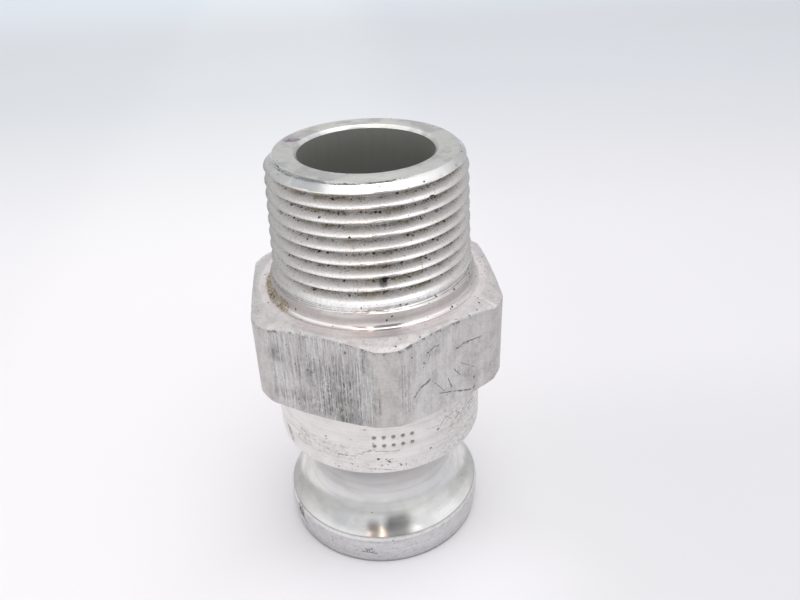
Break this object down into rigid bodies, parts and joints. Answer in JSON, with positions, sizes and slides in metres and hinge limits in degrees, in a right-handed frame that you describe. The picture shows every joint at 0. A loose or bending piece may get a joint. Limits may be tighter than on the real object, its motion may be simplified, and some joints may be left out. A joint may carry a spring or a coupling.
{
  "type": "male camlock adapter",
  "caption": "One-piece aluminium male camlock adapter: grooved cam end for a lever coupler, spanner hexagon and tapered male pipe thread around a straight through-bore.",
  "frame": {"origin": "centre of the flat gasket face that the adapter stands on, on the bore axis", "axes": "+Z along the bore axis from the cam end to the threaded end, +X along the normal of one hexagon flat, -Y through a hexagon corner"},
  "size_m": [0.0412, 0.0456, 0.0742],
  "materials": {
    "body": "satin machined, unpolished, with light handling marks"
  },
  "bodies": {
    "root": {"adapter_body": "body"}
  },
  "joints": []
}
